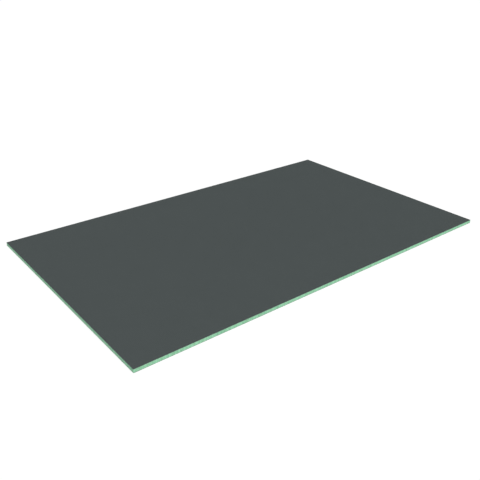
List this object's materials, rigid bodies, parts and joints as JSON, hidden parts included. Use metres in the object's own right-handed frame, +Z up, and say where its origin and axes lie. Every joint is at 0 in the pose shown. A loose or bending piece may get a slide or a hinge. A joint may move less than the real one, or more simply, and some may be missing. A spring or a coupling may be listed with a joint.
{
  "type": "foam backer board",
  "caption": "Flat rectangular tile backer board: a green foam core faced on both sides with a thin dark grey cement coat.",
  "frame": {"origin": "centre of the underside, where the board rests", "axes": "+X along the length, +Y across the width, +Z up through the thickness, out of the upper face"},
  "size_m": [1.524, 0.9144, 0.0127],
  "materials": {
    "foam": "sawn extruded polystyrene foam, mint green",
    "cement_coat": "matt polymer-cement coat over glass-fibre mesh, dark grey"
  },
  "bodies": {
    "root": {"foam_core": "foam", "top_facing": "cement_coat", "bottom_facing": "cement_coat"}
  },
  "joints": []
}
